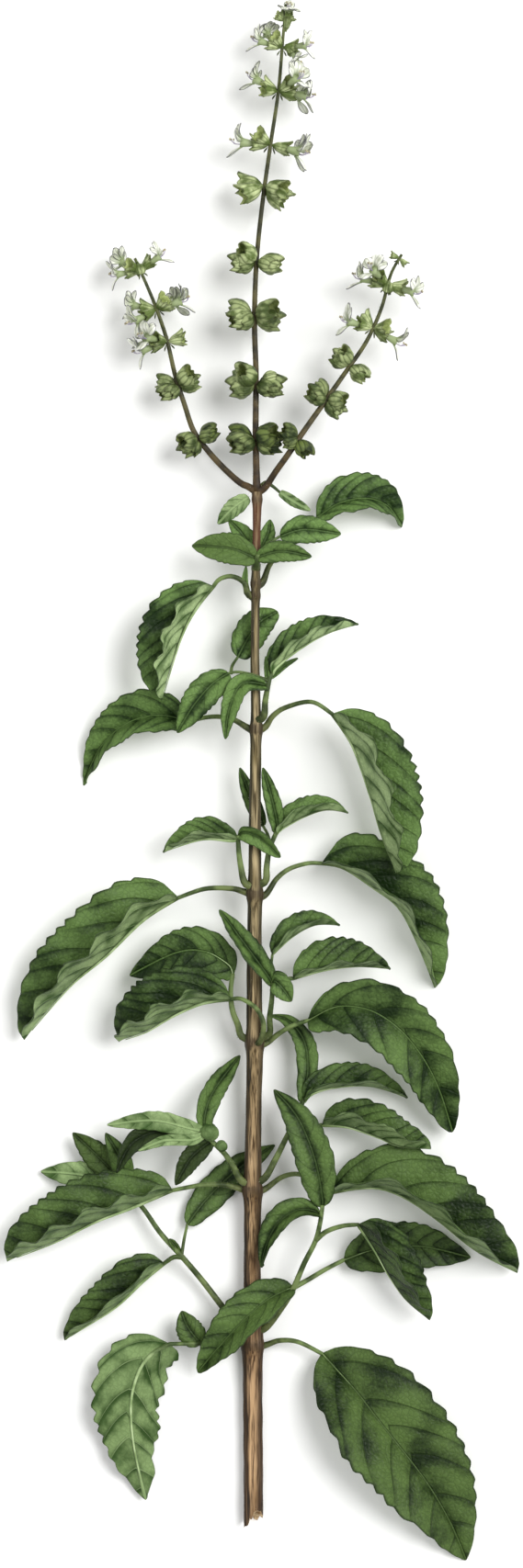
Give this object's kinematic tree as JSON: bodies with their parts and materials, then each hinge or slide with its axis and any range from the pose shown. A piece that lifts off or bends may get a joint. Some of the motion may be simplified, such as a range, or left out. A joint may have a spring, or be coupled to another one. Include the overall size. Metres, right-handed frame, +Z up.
{
  "type": "basil bunch",
  "caption": "Cut, branching stem of flowering basil with toothed leaves in opposite pairs, leafy side shoots and three flower spikes, lying flat.",
  "frame": {"origin": "on the flat underside of the lowest internode of the stem, which rests on the table", "axes": "+Y along the stem from its cut end to the flowers, +X to the right seen from above, +Z up from the table"},
  "size_m": [0.1403, 0.4243, 0.0283],
  "materials": {
    "stem_bark": "satin",
    "leaf_green": "satin",
    "calyx_green": "matte"
  },
  "bodies": {
    "root": {"main_stem": "stem_bark", "leaf_1_left": "leaf_green", "leaf_1_right": "leaf_green", "leaf_2_left": "leaf_green", "leaf_2_right": "leaf_green", "leaf_3_left": "leaf_green", "leaf_3_right": "leaf_green", "leaf_4_left": "leaf_green", "leaf_4_right": "leaf_green", "leaf_5_left": "leaf_green", "leaf_5_right": "leaf_green", "leaf_6_left": "leaf_green", "leaf_6_right": "leaf_green", "bract_left": "leaf_green", "bract_right": "leaf_green", "shoot_1_left": "leaf_green", "shoot_1_right": "leaf_green", "shoot_2_left": "leaf_green", "shoot_2_right": "leaf_green", "shoot_3_left": "leaf_green", "shoot_3_right": "leaf_green", "shoot_4_left": "leaf_green", "shoot_4_right": "leaf_green", "shoot_5": "leaf_green", "shoot_6_front": "leaf_green", "shoot_6_back": "leaf_green", "raceme_centre": "calyx_green", "raceme_left": "calyx_green", "raceme_right": "calyx_green"}
  },
  "joints": []
}
